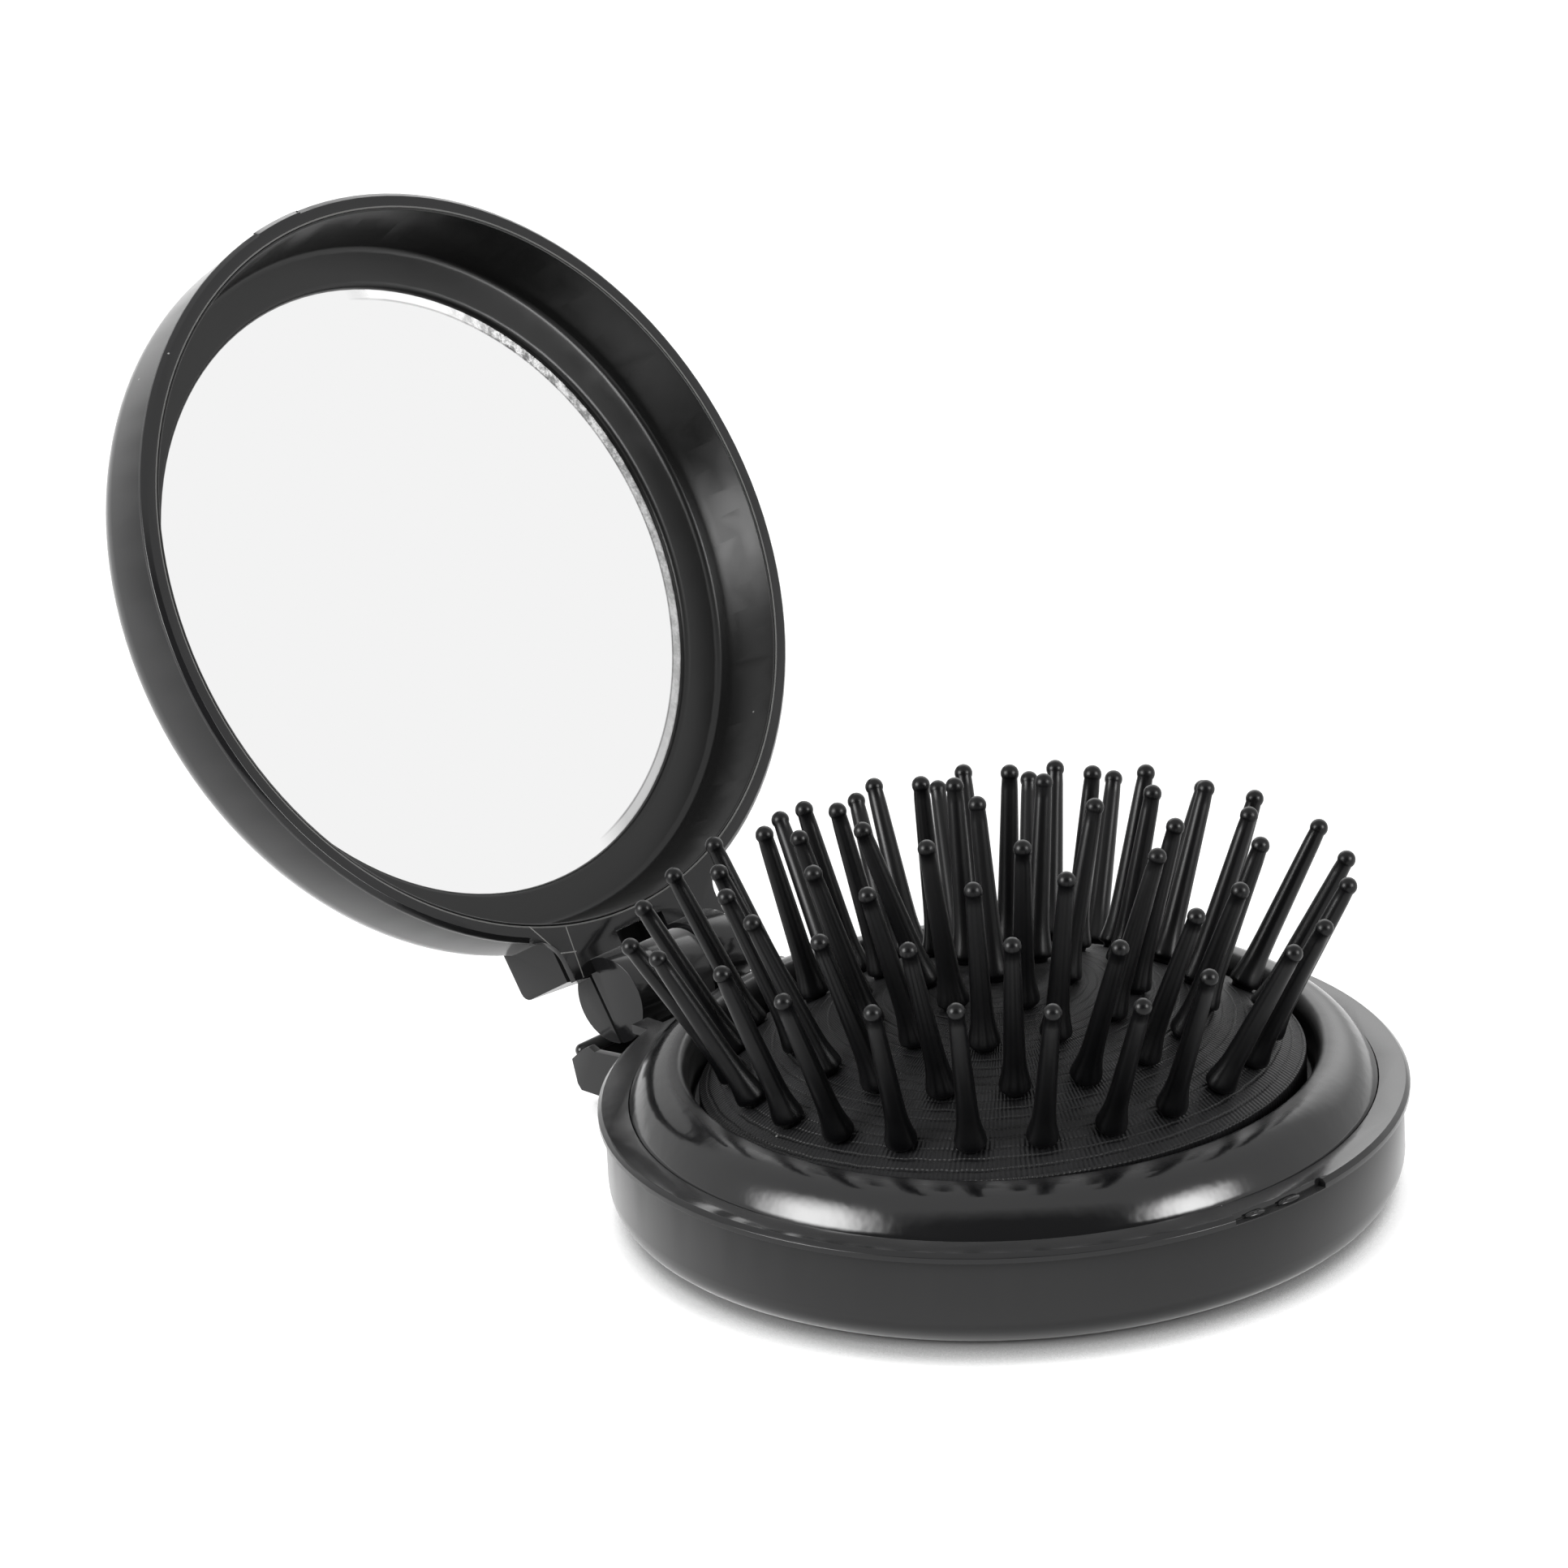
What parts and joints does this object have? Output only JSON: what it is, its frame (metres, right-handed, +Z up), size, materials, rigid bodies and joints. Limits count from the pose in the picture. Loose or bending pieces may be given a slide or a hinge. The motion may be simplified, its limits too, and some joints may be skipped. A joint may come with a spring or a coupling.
{
  "type": "folding pocket hairbrush",
  "caption": "Round folding pocket hairbrush: domed brush head in a shallow base, hinged lid with a mirror, and a press button under the head.",
  "frame": {"origin": "centre of the base's round resting face, on the axis of the base", "axes": "+Z up out of the resting face, hinge axis along Y on the -X side, mirror facing +X and up while the lid is open"},
  "size_m": [0.1121, 0.065, 0.0685],
  "materials": {
    "case_satin": "satin",
    "rim_matte": "matte",
    "trim_gloss": "gloss",
    "pin_steel": "satin",
    "mirror_glass": "polished",
    "tape": "matte",
    "cushion_rubber": "matte",
    "bristle_nylon": "satin"
  },
  "bodies": {
    "base": {"base_shell": "case_satin", "base_rim": "rim_matte", "bezel": "trim_gloss", "hinge_pin": "pin_steel"},
    "lid": {"lid_shell": "case_satin", "lid_rim": "rim_matte", "mirror_cup": "trim_gloss", "mirror": "mirror_glass", "mirror_tape": "tape"},
    "head": {"push_button": "case_satin", "head_carrier": "rim_matte", "cushion": "cushion_rubber", "bristle_centre": "bristle_nylon", "bristle_ring_1": "bristle_nylon", "bristle_ring_2": "bristle_nylon", "bristle_ring_3": "bristle_nylon", "bristle_ring_4": "bristle_nylon"}
  },
  "joints": [
    {"name": "lid_hinge", "type": "hinge", "parent": "base", "child": "lid", "pos_m": [-0.0374, 0, 0.00855], "axis": [0, -1, 0], "range_deg": [-121.4, 0]},
    {"name": "head_slide", "type": "slide", "parent": "base", "child": "head", "axis": [0, 0, 1], "range_m": [-0.0062, 0], "deforming": ["cushion", "bristle_centre", "bristle_ring_1", "bristle_ring_2", "bristle_ring_3", "bristle_ring_4"]}
  ],
  "couplings": [
    {"joint": "head_slide", "follows": "lid_hinge", "m_per_rad": 0.002926}
  ]
}
